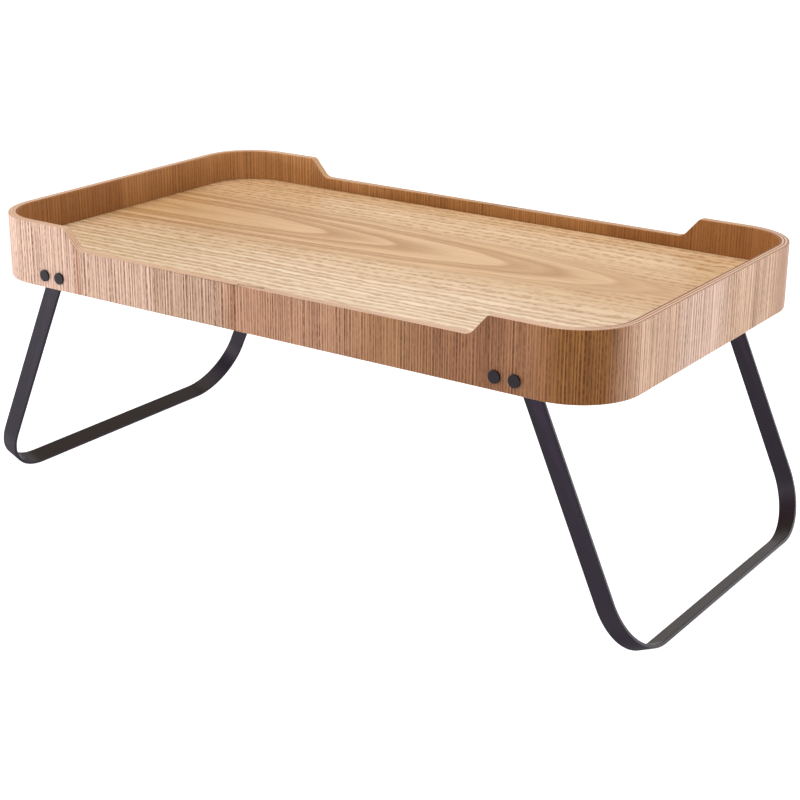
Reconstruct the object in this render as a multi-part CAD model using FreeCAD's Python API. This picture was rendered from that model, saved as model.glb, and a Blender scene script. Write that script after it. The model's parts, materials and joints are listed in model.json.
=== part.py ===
import FreeCAD, Part
import math
import os

# A folding bed tray table: a bentwood tray on two black U-shaped leg frames that fold under it.
# Millimetres. +X runs along the tray, +Y to the rear, +Z up.
# The origin is on the floor, under the middle of the tray.

V = FreeCAD.Vector

# ---- Tray rim: a band of plywood bent round the tray, swept down along both long sides ----
overall_height = 251.4        # floor to the top of the high ends, legs open
tray_length = 600.0
tray_width = 345.5
corner_radius = 52.0          # outer face of the band, seen from above
wall = 8.0                    # thickness of the band
end_rim_height = 54.3         # band height round the two ends
side_rim_height = 37.3        # band height along the middle of the long sides
dip_length = 395.0            # length of the low stretch, between the middles of its two slopes
dip_slope = 48.5              # degrees from level
dip_foot_radius = 11.0        # where the slope meets the low edge
dip_brow_radius = 4.0         # where the slope meets the high edge
rim_edge_bevel = 0.6          # the band's sanded edges

# ---- The band is two like halves, lapped and glued along the long sides ----
seam_offset = 22.5            # outer seam line, from the middle of the tray
lap_length = 24.0
glue_gap = 0.05

# ---- Panel: a veneered board held in a groove round the inside of the band ----
panel_top_rise = 26.6         # top of the panel above the bottom of the rim
panel_thickness = 5.0
panel_edge_gap = 0.1          # panel edge to the band's inner face
groove_depth = 3.0
groove_height = 3.2
groove_drop = 0.9             # top of the groove below the top of the panel
tongue_end_gap = 0.3
tongue_face_gap = 0.05

# ---- Leg frames: flat bar bent into a U ----
bar_width = 15.3
bar_thickness = 2.8
bar_edge_bevel = 0.3
leg_bend_radius = 50.0        # outer face of each bend
leg_splay = 24.0              # degrees outward from upright, legs open

# ---- Hinges: one at each corner, on two flat-headed posts through the band ----
pivot_from_corner = 19.5      # pivot axis to where the band starts to turn the corner
pivot_below_panel = 11.0      # pivot axis to the underside of the panel
post_spacing = 16.5           # pivot post to fixing post
post_head_radius = 5.0
post_head_height = 1.5
post_head_bevel = 0.3
barrel_radius = 3.0
barrel_fit = 0.05             # radial clearance of a barrel in its hole
barrel_wall = 1.0
screw_fit = 0.05              # radial clearance of a screw in its barrel
pivot_grip = 10.0             # pivot screw's length inside its barrel
fixing_grip = 7.0             # fixing screw's length inside its barrel
bore_spare = 1.5              # barrel bore beyond the screw's tip
screw_head_radius = 4.6
screw_head_height = 1.8
screw_head_bevel = 0.4
socket_across_flats = 3.0
socket_depth = 1.2
plate_thickness = 2.0
plate_end_radius = 8.0
plate_bend_radius = 1.0       # inside of the stop tab's bend
stop_gap = 0.25               # arm edge to stop tab, legs open
stop_start = 3.0              # stop tab, measured down the arm from the pivot
stop_length = 7.0
stop_overlap = 0.6            # stop tab past the inner face of the arm
bush_radius = 6.0
bush_length = 3.85            # holds the arm off the hinge plate
washer_radius = 6.0
washer_thickness = 1.0
running_gap = 0.15            # arm face to bush and to washer

# ---- Worked out from the sizes above ----
rim_bottom = overall_height - end_rim_height
panel_top = rim_bottom + panel_top_rise
groove_top = panel_top - groove_drop
inner_length = tray_length - 2 * wall
inner_width = tray_width - 2 * wall
inner_radius = corner_radius - wall
pivot_x = tray_length / 2 - corner_radius - pivot_from_corner
pivot_z = panel_top - panel_thickness - pivot_below_panel
fixing_x = pivot_x - post_spacing
splay = math.radians(leg_splay)
edge_lift = bar_edge_bevel * min(math.sin(splay), math.cos(splay))
leg_reach = (pivot_z - bar_width / 2 * math.sin(splay) + edge_lift) / math.cos(splay)

# Depths at a hinge, measured inward from the outer face of the band
plate_inner = wall + plate_thickness
bush_inner = plate_inner + bush_length
arm_outer = bush_inner + running_gap
arm_inner = arm_outer + bar_thickness
washer_outer = arm_inner + running_gap
washer_inner = washer_outer + washer_thickness
leg_width = tray_width - 2 * arm_outer

SPARE = 20.0                  # how far cutting shapes run past what they cut
SAME = 1e-6                   # points nearer than this are one point
NEAR = 0.01                   # tolerance for picking edges by their place


def corner_points(before, here, after, radius):
    """Start, middle and end of the arc that rounds the corner here."""
    if radius == 0:
        return here, here, here
    to_before = (before - here).normalize()
    to_after = (after - here).normalize()
    half_angle = to_before.getAngle(to_after) / 2
    setback = radius / math.tan(half_angle)
    centre = here + (to_before + to_after).normalize() * (radius / math.sin(half_angle))
    middle = centre + (here - centre).normalize() * radius
    return here + to_before * setback, middle, here + to_after * setback


def rounded_outline(corners, place):
    """Closed wire through corners (a, b, radius); place(a, b) gives each point in space."""
    points = [V(a, b, 0) for a, b, radius in corners]
    after = points[1:] + points[:1]
    arcs = [corner_points(points[index - 1], points[index], after[index], corners[index][2])
            for index in range(len(corners))]
    edges = []
    for index, arc in enumerate(arcs):
        start, middle, end = [place(point.x, point.y) for point in arc]
        leaving = place(arcs[index - 1][2].x, arcs[index - 1][2].y)
        if leaving.distanceToPoint(start) > SAME:
            edges.append(Part.LineSegment(leaving, start).toShape())
        if start.distanceToPoint(end) > SAME:
            edges.append(Part.Arc(start, middle, end).toShape())
    return Part.Wire(edges)


def prism(corners, place, travel):
    """Solid made by moving a rounded outline along the vector travel."""
    return Part.Face(rounded_outline(corners, place)).extrude(travel)


def rounded_slab(length, width, radius, bottom, top):
    """Upright slab with rounded corners, centred on the Z axis."""
    a = length / 2
    b = width / 2
    corners = [(-a, -b, radius), (a, -b, radius), (a, b, radius), (-a, b, radius)]
    return prism(corners, lambda x, y: V(x, y, bottom), V(0, 0, top - bottom))


def rim_elevation():
    """Side view of the band, as a solid through the whole width of the tray."""
    end = tray_length / 2 + SPARE
    side = tray_width / 2 + SPARE
    high = end_rim_height
    low = side_rim_height
    half_slope = (high - low) / 2 / math.tan(math.radians(dip_slope))
    foot = dip_length / 2 - half_slope
    brow = dip_length / 2 + half_slope
    corners = [
        (-end, 0, 0), (end, 0, 0), (end, high, 0),
        (brow, high, dip_brow_radius), (foot, low, dip_foot_radius),
        (-foot, low, dip_foot_radius), (-brow, high, dip_brow_radius), (-end, high, 0),
    ]
    return prism(corners, lambda x, z: V(x, -side, rim_bottom + z), V(0, 2 * side, 0))


def is_rim_edge(edge):
    """True for edges along the band; false for its upright edges and those across its thickness."""
    box = edge.BoundBox
    upright = box.XLength + box.YLength < NEAR
    across = box.XLength + box.ZLength < NEAR and box.YLength < wall + NEAR
    return not (upright or across)


def rim_band():
    """The whole band before it is parted: swept sides, bevelled edges, groove and post holes."""
    bottom = rim_bottom - SPARE
    top = rim_bottom + end_rim_height + SPARE
    outside = rounded_slab(tray_length, tray_width, corner_radius, bottom, top)
    inside = rounded_slab(inner_length, inner_width, inner_radius, bottom, top)
    band = outside.cut(inside).common(rim_elevation()).Solids[0]
    band = band.makeChamfer(rim_edge_bevel, [edge for edge in band.Edges if is_rim_edge(edge)])
    groove = rounded_slab(inner_length + 2 * groove_depth, inner_width + 2 * groove_depth,
                          inner_radius + groove_depth, groove_top - groove_height, groove_top)
    band = band.cut(groove)
    for x in (-pivot_x, -fixing_x, fixing_x, pivot_x):
        start = V(x, -tray_width / 2 - SPARE, pivot_z)
        hole = Part.makeCylinder(barrel_radius + barrel_fit, tray_width + 2 * SPARE, start, V(0, 1, 0))
        band = band.cut(hole)
    return band


def rim_left_half():
    """Left half of the band. Its front end laps on the inside, its rear end on the outside."""
    far = tray_length / 2 + SPARE
    side = tray_width / 2 + SPARE
    lap_plane = tray_width / 2 - wall / 2
    gap = glue_gap / 2
    corners = [
        (-far, -side, 0), (-seam_offset - gap, -side, 0), (-seam_offset - gap, -lap_plane + gap, 0),
        (-seam_offset + lap_length - gap, -lap_plane + gap, 0), (-seam_offset + lap_length - gap, 0, 0),
        (seam_offset - lap_length - gap, 0, 0), (seam_offset - lap_length - gap, lap_plane + gap, 0),
        (seam_offset - gap, lap_plane + gap, 0), (seam_offset - gap, side, 0), (-far, side, 0),
    ]
    keep = prism(corners, lambda x, y: V(x, y, rim_bottom - SPARE), V(0, 0, end_rim_height + 2 * SPARE))
    return rim_band().common(keep).Solids[0]


def half_turn(shape):
    """Copy of a shape turned half a turn about the Z axis."""
    turned = shape.copy()
    turned.rotate(V(0, 0, 0), V(0, 0, 1), 180)
    return turned


def panel():
    """Tray panel with a tongue all round that sits in the band's groove."""
    board = rounded_slab(inner_length - 2 * panel_edge_gap, inner_width - 2 * panel_edge_gap,
                         inner_radius - panel_edge_gap, panel_top - panel_thickness, panel_top)
    reach = groove_depth - tongue_end_gap
    tongue = rounded_slab(inner_length + 2 * reach, inner_width + 2 * reach, inner_radius + reach,
                          groove_top - groove_height + tongue_face_gap, groove_top - tongue_face_gap)
    return board.fuse(tongue).removeSplitter().Solids[0]


def is_bar_edge(edge):
    """True for the long edges of the bent bar, false for its ends and across its faces."""
    box = edge.BoundBox
    on_face = abs(abs(edge.CenterOfMass.x) - bar_width / 2) < NEAR
    short_end = box.XLength + box.ZLength < NEAR and box.YLength < bar_thickness + NEAR
    return on_face and not short_end


def right_leg_frame():
    """Flat bar bent into a U: made hanging from the pivot axis, then swung out to its splay."""
    half = leg_width / 2
    top = bar_width / 2 + SPARE
    inner = half - bar_thickness
    inner_bend = leg_bend_radius - bar_thickness
    corners = [
        (-half, top, 0), (-half, -leg_reach, leg_bend_radius), (half, -leg_reach, leg_bend_radius),
        (half, top, 0), (inner, top, 0), (inner, bar_thickness - leg_reach, inner_bend),
        (-inner, bar_thickness - leg_reach, inner_bend), (-inner, top, 0),
    ]
    bar = prism(corners, lambda y, z: V(-bar_width / 2, y, z), V(bar_width, 0, 0))
    bar = bar.makeChamfer(bar_edge_bevel, [edge for edge in bar.Edges if is_bar_edge(edge)])

    # The arms end in a half round about the pivot
    across = bar_width / 2
    far = leg_reach + SPARE
    ends = [(-across, -far, 0), (across, -far, 0), (across, across, across), (-across, across, across)]
    silhouette = prism(ends, lambda x, z: V(x, -half - SPARE, z), V(0, leg_width + 2 * SPARE, 0))
    bar = bar.common(silhouette)
    hole = Part.makeCylinder(barrel_radius + barrel_fit, leg_width + 2 * SPARE,
                             V(0, -half - SPARE, 0), V(0, 1, 0))
    bar = bar.cut(hole).Solids[0]
    bar.rotate(V(0, 0, 0), V(0, 1, 0), -leg_splay)
    bar.translate(V(pivot_x, 0, pivot_z))
    return bar


# Hinge pieces are made at the front right corner. Depth 0 is the band's outer face, and grows inward.

def round_bar(x, radius, depth, length):
    """Cylinder along Y at x and the pivot's height, from one depth to a deeper one."""
    return Part.makeCylinder(radius, length, V(x, depth - tray_width / 2, pivot_z), V(0, 1, 0))


def bevelled(solid, bevel, depth):
    """Turned piece with its outermost edge bevelled at the given depth."""
    y = depth - tray_width / 2
    rims = [edge for edge in solid.Edges
            if edge.BoundBox.YLength < NEAR and abs(edge.CenterOfMass.y - y) < NEAR]
    return solid.makeChamfer(bevel, [max(rims, key=lambda edge: edge.Length)])


def post(x, barrel_end, grip):
    """Flat-headed post: head on the band's outer face, barrel through it, bored from the inside."""
    head = bevelled(round_bar(x, post_head_radius, -post_head_height, post_head_height),
                    post_head_bevel, -post_head_height)
    barrel = round_bar(x, barrel_radius, 0, barrel_end)
    bore_depth = grip + bore_spare
    bore = round_bar(x, barrel_radius - barrel_wall, barrel_end - bore_depth, bore_depth)
    return head.fuse(barrel).cut(bore).removeSplitter().Solids[0]


def screw(x, seat, barrel_end, grip):
    """Flat-headed socket screw, seated at one depth and reaching back into a post's barrel."""
    head = bevelled(round_bar(x, screw_head_radius, seat, screw_head_height),
                    screw_head_bevel, seat + screw_head_height)
    shank_radius = barrel_radius - barrel_wall - screw_fit
    tip = barrel_end - grip
    shank = round_bar(x, shank_radius, tip, seat - tip)
    corner = socket_across_flats / math.sqrt(3)
    y = seat + screw_head_height - socket_depth - tray_width / 2
    angles = [math.radians(60 * step) for step in range(7)]
    points = [V(x + corner * math.cos(turn), y, pivot_z + corner * math.sin(turn)) for turn in angles]
    socket = Part.Face(Part.makePolygon(points)).extrude(V(0, socket_depth, 0))
    return head.fuse(shank).cut(socket).removeSplitter().Solids[0]


def sleeve(radius, bore, start, end):
    """Round sleeve on the pivot axis, from one depth to a deeper one."""
    return round_bar(pivot_x, radius, start, end - start).cut(round_bar(pivot_x, bore, start, end - start))


def stop_tab():
    """Bent tab of the hinge plate: the open arm's outer edge comes to rest on it."""
    end = bar_width / 2 + stop_gap + plate_thickness
    tip = arm_inner + stop_overlap - wall
    outside = plate_bend_radius + plate_thickness
    corners = [
        (0, 0, 0), (end, 0, outside), (end, tip, 0), (end - plate_thickness, tip, 0),
        (end - plate_thickness, plate_thickness, plate_bend_radius), (0, plate_thickness, 0),
    ]
    inner_face = wall - tray_width / 2
    tab = prism(corners, lambda x, y: V(x, inner_face + y, -stop_start - stop_length), V(0, 0, stop_length))
    tab.rotate(V(0, 0, 0), V(0, 1, 0), -leg_splay)
    tab.translate(V(pivot_x, 0, pivot_z))
    return tab


def hinge_plate():
    """Steel plate on the band's inner face, held by both posts, with the stop tab bent from it."""
    low = pivot_z - plate_end_radius
    high = pivot_z + plate_end_radius
    left = fixing_x - plate_end_radius
    right = pivot_x + plate_end_radius
    corners = [(x, z, plate_end_radius) for x, z in ((left, low), (right, low), (right, high), (left, high))]
    inner_face = wall - tray_width / 2
    plate = prism(corners, lambda x, z: V(x, inner_face, z), V(0, plate_thickness, 0))
    plate = plate.fuse(stop_tab())
    for x in (pivot_x, fixing_x):
        plate = plate.cut(round_bar(x, barrel_radius + barrel_fit, 0, plate_inner + SPARE))
    return plate.removeSplitter().Solids[0]


def hinge_pieces():
    """Every piece of the front right hinge, by name."""
    clear_bore = barrel_radius + barrel_fit
    screw_bore = barrel_radius - barrel_wall
    return {
        "hinge_plate": hinge_plate(),
        "pivot_post": post(pivot_x, washer_outer, pivot_grip),
        "spacer_bush": sleeve(bush_radius, clear_bore, plate_inner, bush_inner),
        "friction_washer": sleeve(washer_radius, screw_bore, washer_outer, washer_inner),
        "pivot_screw": screw(pivot_x, washer_inner, washer_outer, pivot_grip),
        "fixing_post": post(fixing_x, plate_inner, fixing_grip),
        "fixing_screw": screw(fixing_x, plate_inner, plate_inner, fixing_grip),
    }


def at_corner(shape, row, side):
    """Copy of a front right piece, mirrored to the front or rear row and the left or right side."""
    placed = shape.copy()
    if side == "left":
        placed = placed.mirror(V(0, 0, 0), V(1, 0, 0))
    if row == "rear":
        placed = placed.mirror(V(0, 0, 0), V(0, 1, 0))
    return placed


def all_pieces():
    """Every piece of the table in its place, by node name."""
    rim = rim_left_half()
    leg = right_leg_frame()
    pieces = {
        "rim_left": rim,
        "rim_right": half_turn(rim),
        "panel": panel(),
        "leg_frame_left": half_turn(leg),
        "leg_frame_right": leg,
    }
    hinge = hinge_pieces()
    for row in ("front", "rear"):
        for side in ("left", "right"):
            for name, shape in hinge.items():
                pieces[name + "_" + row + "_" + side] = at_corner(shape, row, side)
    return pieces


def main():
    os.makedirs("parts", exist_ok=True)
    for name, shape in all_pieces().items():
        shape.exportStep("parts/" + name + ".step")
        print(name, "solids", len(shape.Solids), "valid", shape.isValid(), "volume", round(shape.Volume, 1))


main()
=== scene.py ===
"""Folding bed tray table: the finish of every piece, built round its packed frame.

A bent plywood rim in two lapped halves holds a veneered panel, and two U-shaped bars of black flat
steel fold under it on four hinges. Metres. +X runs along the tray, +Y to the rear, +Z up from the
floor. The file is laid out as an add-on: sizes and colours are properties, and each operator makes
one piece or one group of like pieces from them.
"""

import json
import math

import bmesh
import bpy
from bpy.props import FloatProperty, FloatVectorProperty, PointerProperty
from mathutils import Matrix, Vector


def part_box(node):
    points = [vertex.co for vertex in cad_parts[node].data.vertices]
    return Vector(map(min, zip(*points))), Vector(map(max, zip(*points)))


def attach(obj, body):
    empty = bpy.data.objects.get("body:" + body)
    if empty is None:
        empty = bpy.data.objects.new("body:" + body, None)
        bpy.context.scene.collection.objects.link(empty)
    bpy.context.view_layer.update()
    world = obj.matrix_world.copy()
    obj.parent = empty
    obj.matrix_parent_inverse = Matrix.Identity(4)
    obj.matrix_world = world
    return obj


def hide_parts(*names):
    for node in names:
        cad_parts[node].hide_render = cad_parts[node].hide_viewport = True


bl_info = {
    "name": "Bed tray table",
    "version": (1, 0, 0),
    "blender": (4, 5, 0),
    "location": "View3D > Sidebar > Tray Table",
    "description": "Builds the rim, panel, folding legs, hinge hardware and studio of a bed tray table",
    "category": "Object",
}

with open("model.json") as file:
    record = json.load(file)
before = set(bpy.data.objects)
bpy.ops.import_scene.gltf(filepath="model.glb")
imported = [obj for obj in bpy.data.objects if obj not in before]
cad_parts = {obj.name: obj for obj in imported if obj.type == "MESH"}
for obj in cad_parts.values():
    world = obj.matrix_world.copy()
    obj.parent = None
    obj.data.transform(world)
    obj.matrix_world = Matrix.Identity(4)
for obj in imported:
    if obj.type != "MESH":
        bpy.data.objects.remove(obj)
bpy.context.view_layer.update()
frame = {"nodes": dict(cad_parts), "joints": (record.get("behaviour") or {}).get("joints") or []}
MM = 0.001


def joined_box(*nodes):
    """Lowest and highest corner of several nodes together."""
    boxes = [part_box(node) for node in nodes]
    low = Vector([min(box[0][axis] for box in boxes) for axis in range(3)])
    high = Vector([max(box[1][axis] for box in boxes) for axis in range(3)])
    return low, high


def joint(name):
    """The packed record's joint of that name."""
    return next(found for found in frame["joints"] if found["name"] == name)


# ---- Places read from the frame ----
TRAY_LOW, TRAY_HIGH = joined_box("rim_left", "rim_right")
BOARD_LOW, BOARD_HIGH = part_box("panel")
LEG_LOW, LEG_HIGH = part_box("leg_frame_right")
HALF_LENGTH = TRAY_HIGH.x
HALF_WIDTH = TRAY_HIGH.y
SEAM_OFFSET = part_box("rim_left")[1].x
PIVOT = Vector(joint("right_leg_fold")["pos_m"])
SPLAY = math.radians(joint("right_leg_fold")["range_deg"][1] - 90)
CORNERS = [(row, side) for row in ("front", "rear") for side in ("left", "right")]

LARGE_ARC_STEP = math.radians(3.75)
SLOPE_ARC_STEP = math.radians(6)
SMALL_ARC_STEP = math.radians(22.5)
QUARTER_TURN = math.radians(90)
PRESSED_EDGE = math.radians(40)    # a sharper angle than this on a pressed plate is an edge
TURNED_STEPS = 48             # a multiple of six, so that a hexagon's corners fall on steps
SAME_PLACE = 1e-7
WELD_REACH = 1e-6


# ======== Properties ========

def length(name, description, millimetres):
    """A length property whose default is given in millimetres."""
    return FloatProperty(name=name, description=description, default=millimetres * MM,
                         min=0.0, unit="LENGTH", precision=5)


def angle(name, description, degrees):
    """An angle property whose default is given in degrees."""
    return FloatProperty(name=name, description=description, default=math.radians(degrees),
                         subtype="ANGLE", unit="ROTATION")


def colour(name, description, value):
    """A linear colour property."""
    return FloatVectorProperty(name=name, description=description, default=value,
                               size=3, min=0.0, max=1.0, subtype="COLOR")


def share(name, description, value, top=1.0):
    """A plain number property, from zero up."""
    return FloatProperty(name=name, description=description, default=value, min=0.0, max=top)


class RimSizes(bpy.types.PropertyGroup):
    """Sizes of the bent plywood rim."""

    wall: length("Wall", "Thickness of the plywood band", 8.0)
    corner_radius: length("Corner Radius", "Outer radius of the four corners, seen from above", 52.0)
    side_height: length("Side Height", "Height of the band along the middle of the long sides", 37.3)
    dip_length: length("Dip Length", "Length of the low stretch, between the middles of its slopes", 395.0)
    dip_slope: angle("Dip Slope", "Slope at each end of the low stretch", 48.5)
    foot_radius: length("Foot Radius", "Radius where a slope meets the low edge", 11.0)
    brow_radius: length("Brow Radius", "Radius where a slope meets the high edge", 4.0)
    edge_round: length("Edge Round", "Radius of the sanded edges", 0.8)
    lap: length("Lap", "Length of the glued half laps", 24.0)
    glue: length("Glue", "Thickness of the glue line in the laps", 0.05)
    groove_depth: length("Groove Depth", "Depth of the groove that holds the panel", 3.0)
    groove_height: length("Groove Height", "Height of the groove that holds the panel", 3.2)
    groove_drop: length("Groove Drop", "Top of the groove below the top of the panel", 0.9)
    hole_radius: length("Hole Radius", "Radius of the holes for the hinge posts", 3.05)


class BoardSizes(bpy.types.PropertyGroup):
    """Sizes of the tray panel."""

    tongue_reach: length("Tongue Reach", "How far the tongue stands out from the panel's edge", 2.8)
    tongue_play: length("Tongue Play", "Gap between the tongue and the groove's faces", 0.05)
    edge_round: length("Edge Round", "Radius of the panel's eased edges", 0.4)


class LegSizes(bpy.types.PropertyGroup):
    """Sizes of the bent flat-bar leg frames."""

    bar_width: length("Bar Width", "Width of the flat bar", 15.3)
    bar_thickness: length("Bar Thickness", "Thickness of the flat bar", 2.8)
    bend_radius: length("Bend Radius", "Outer radius of the two bends", 50.0)
    edge_round: length("Edge Round", "Radius of the bar's edges", 0.45)


class HingeSizes(bpy.types.PropertyGroup):
    """Sizes of the turned hinge pieces."""

    head_height: length("Head Height", "Height of a post's flat head", 1.5)
    head_round: length("Head Round", "Radius round the face of a head", 0.35)
    barrel_radius: length("Barrel Radius", "Outer radius of a post's barrel", 3.0)
    bore_radius: length("Bore Radius", "Radius of the bore in a post", 2.0)
    pivot_bore: length("Pivot Bore", "Depth of the bore in a pivot post", 11.5)
    fixing_bore: length("Fixing Bore", "Depth of the bore in a fixing post", 8.5)
    shank_radius: length("Shank Radius", "Radius of a screw's shank", 1.95)
    screw_head: length("Screw Head", "Height of a screw's head", 1.8)
    socket: length("Socket", "Width across the flats of a screw's socket", 3.0)
    socket_depth: length("Socket Depth", "Depth of a screw's socket", 1.2)
    bush_bore: length("Bush Bore", "Radius of the bore in a bush", 3.05)
    sleeve_round: length("Sleeve Round", "Radius of a bush's and a washer's edges", 0.2)
    plate_round: length("Plate Round", "Rounding of the pressed plates' edges", 0.25)


class Finishes(bpy.types.PropertyGroup):
    """Colours and gloss of every material."""

    # The outer leaf tones below are partly the veneers' own colours and partly painted light: the pale rose
    # and sand leaves paint the side lights' sheen, and the dark amber and brown leaves paint the front-right
    # corner's shade.
    rose: colour("Rose Leaf", "Pale pinkish rim veneer", (0.90, 0.635, 0.51))
    grey: colour("Grey Leaf", "Greyer rim veneer", (0.71, 0.48, 0.35))
    tan: colour("Tan Leaf", "Light brown rim veneer", (0.58, 0.325, 0.20))
    pink: colour("Pink Leaf", "Pinkish rim veneer", (0.83, 0.58, 0.455))
    sand: colour("Sand Leaf", "Pale sandy rim veneer", (0.81, 0.53, 0.36))
    brown: colour("Brown Leaf", "Warm brown rim veneer", (0.395, 0.186, 0.091))
    amber: colour("Amber Leaf", "Orange-brown rim veneer", (0.40, 0.168, 0.046))
    # Honey, maple and toffee, the veneers inside the rim, are set darker and more saturated than the outer
    # leaves as painted shade of the tray's well, besides their own colours.
    honey: colour("Honey Leaf", "Golden brown veneer inside the rim", (0.54, 0.262, 0.092))
    nut: colour("Nut Leaf", "Middling brown rim veneer", (0.455, 0.23, 0.115))
    maple: colour("Maple Leaf", "Paler golden veneer inside the rim", (0.67, 0.345, 0.14))
    toffee: colour("Toffee Leaf", "Darker brown veneer inside the rim", (0.45, 0.20, 0.066))
    red: colour("Red Strip", "The narrow reddish strips between leaves", (0.62, 0.32, 0.21))
    ply: colour("Ply", "The cream plies on the rim's cut edges", (0.62, 0.40, 0.27))
    cross_ply: colour("Cross Ply", "Darker layers of the rim's cut edges", (0.46, 0.275, 0.165))
    core: colour("Core Ply", "The darker plies on the rim's cut edges", (0.20, 0.06, 0.016))
    glue: colour("Glue Line", "The thin dark lines between plies", (0.15, 0.045, 0.014))
    board_pale: colour("Board Pale", "Early wood of the panel's face", (0.84, 0.69, 0.52))
    board_heart: colour("Board Heart", "Early wood between the panel's arches", (0.65, 0.43, 0.235))
    board_rear: colour("Board Rear", "Early wood of the panel's rear part", (0.75, 0.535, 0.33))
    board_dark: colour("Board Dark", "Late wood of the panel's face", (0.42, 0.22, 0.085))
    powder: colour("Powder Coat", "The leg frames' charcoal powder coat", (0.0115, 0.0062, 0.0155))
    steel_black: colour("Black Steel", "The posts and screws", (0.010, 0.006, 0.010))
    zinc: colour("Zinc", "The hinge plates", (0.60, 0.61, 0.63))
    nylon: colour("Nylon", "The bushes and washers", (0.78, 0.76, 0.70))
    wood_roughness: share("Wood Roughness", "Roughness of the satin lacquer", 0.42)
    powder_roughness: share("Powder Roughness", "Roughness of the powder coat", 0.42)


class Studio(bpy.types.PropertyGroup):
    """Floor, lights and backdrop."""

    floor: colour("Floor", "Colour of the plain pale floor", (0.25, 0.25, 0.25))
    floor_glow: share("Floor Glow", "Light that the floor gives off, as a lit sweep does", 1.1, 10.0)
    backdrop: share("Backdrop", "Strength of the even light all round", 0.28, 10.0)
    seen_backdrop: share("Seen Backdrop", "Strength that the camera sees behind the table", 1.1, 10.0)
    top_power: share("Top Light", "Power of the soft light overhead, in watts", 44.0, 1000.0)
    left_power: share("Left Light", "Power of the soft light at the left, in watts", 22.0, 1000.0)
    right_power: share("Right Light", "Power of the soft light at the right, in watts", 16.0, 1000.0)
    back_power: share("Back Light", "Power of the soft light behind, in watts", 4.0, 1000.0)


# ======== Lines and meshes ========

def left_of(direction):
    """The direction a quarter turn to the left of a flat direction."""
    return Vector((-direction.y, direction.x))


def swung(direction, turn):
    """A flat direction turned to the left by an angle."""
    return direction * math.cos(turn) + left_of(direction) * math.sin(turn)


def rounded_line(corners, arc_step, closed=False):
    """Points along a flat line with rounded corners, each with the normal on the line's left.

    A corner is (a, b, radius). At a sharp corner the normal is long enough to keep both edges in step.
    """
    found = []
    last = len(corners) - 1
    for index, (a, b, radius) in enumerate(corners):
        here = Vector((a, b))
        arriving = (here - Vector(corners[index - 1][:2])).normalized()
        leaving = (Vector(corners[0 if index == last else index + 1][:2]) - here).normalized()
        if not closed and index == 0:
            arriving = leaving
        if not closed and index == last:
            leaving = arriving
        turn = math.atan2(arriving.x * leaving.y - arriving.y * leaving.x, arriving.dot(leaving))
        if radius == 0:
            found.append((here, left_of(swung(arriving, turn / 2)) / math.cos(turn / 2)))
            continue
        reach = math.copysign(radius, turn)
        start = here - arriving * radius * math.tan(abs(turn) / 2)
        centre = start + left_of(arriving) * reach
        steps = max(2, round(abs(turn) / arc_step))
        for step in range(steps + 1):
            normal = left_of(swung(arriving, turn * step / steps))
            found.append((centre - normal * reach, normal))
    return found


class Path:
    """A flat line that can be asked for the place and normal at any distance along it."""

    def __init__(self, corners, arc_step):
        self.line = rounded_line(corners, arc_step)
        self.marks = [0.0]
        for (before, _), (after, _) in zip(self.line, self.line[1:]):
            self.marks.append(self.marks[-1] + (after - before).length)
        self.length = self.marks[-1]

    def at(self, along):
        """Place and normal at a distance along the line; past its ends it runs straight on."""
        upper = next((index for index, mark in enumerate(self.marks) if mark >= along), len(self.marks) - 1)
        upper = max(upper, 1)
        low, high = self.marks[upper - 1], self.marks[upper]
        part = (along - low) / (high - low)
        start, end = self.line[upper - 1], self.line[upper]
        normal = start[1].lerp(end[1], min(max(part, 0.0), 1.0))
        return start[0] + (end[0] - start[0]) * part, normal.normalized()


def quarter_round(radius):
    """Pairs (in from the face, down from the top) round an edge, from the top to the face."""
    steps = round(QUARTER_TURN / SMALL_ARC_STEP)
    turns = [QUARTER_TURN * step / steps for step in range(steps + 1)]
    return [(radius * (1 - math.sin(turn)), radius * (1 - math.cos(turn))) for turn in turns]


def strip_between(mesh, first, second, segments):
    """Quads between two rows of vertices, for the given pairs of columns."""
    for low, high in segments:
        mesh.faces.new((first[low], first[high], second[high], second[low]))


def around(count):
    """Pairs of neighbouring columns round a closed ring."""
    return [(index, (index + 1) % count) for index in range(count)]


def clean(mesh):
    """Joins vertices at one place, drops loose ones and turns every face outward."""
    bmesh.ops.remove_doubles(mesh, verts=mesh.verts, dist=SAME_PLACE)
    loose = [vertex for vertex in mesh.verts if not vertex.link_faces]
    bmesh.ops.delete(mesh, geom=loose, context="VERTS")
    bmesh.ops.recalc_face_normals(mesh, faces=mesh.faces)


def turned_about_z(mesh):
    """Turns a mesh half a turn about the tray's middle."""
    mesh.transform(Matrix.Rotation(math.pi, 4, "Z"))


def add_object(name, data):
    """An object in the scene."""
    made = bpy.data.objects.new(name, data)
    bpy.context.scene.collection.objects.link(made)
    return made


def mesh_object(name, mesh):
    """An object in the scene from a bmesh, which is freed."""
    data = bpy.data.meshes.new(name)
    mesh.to_mesh(data)
    mesh.free()
    return add_object(name, data)


def add_piece(name, mesh, material, body, nodes, holes=()):
    """Makes a finished piece from a bmesh: drilled, smooth, with its material, body and nodes."""
    clean(mesh)
    piece = mesh_object(name, mesh)
    if holes:
        drill(piece, holes)
    piece.data.shade_smooth()
    weighted = piece.modifiers.new("Flat faces stay flat", "WEIGHTED_NORMAL")
    weighted.weight = 100
    piece.data.materials.clear()
    piece.data.materials.append(material)
    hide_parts(*nodes)
    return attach(piece, body)


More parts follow.
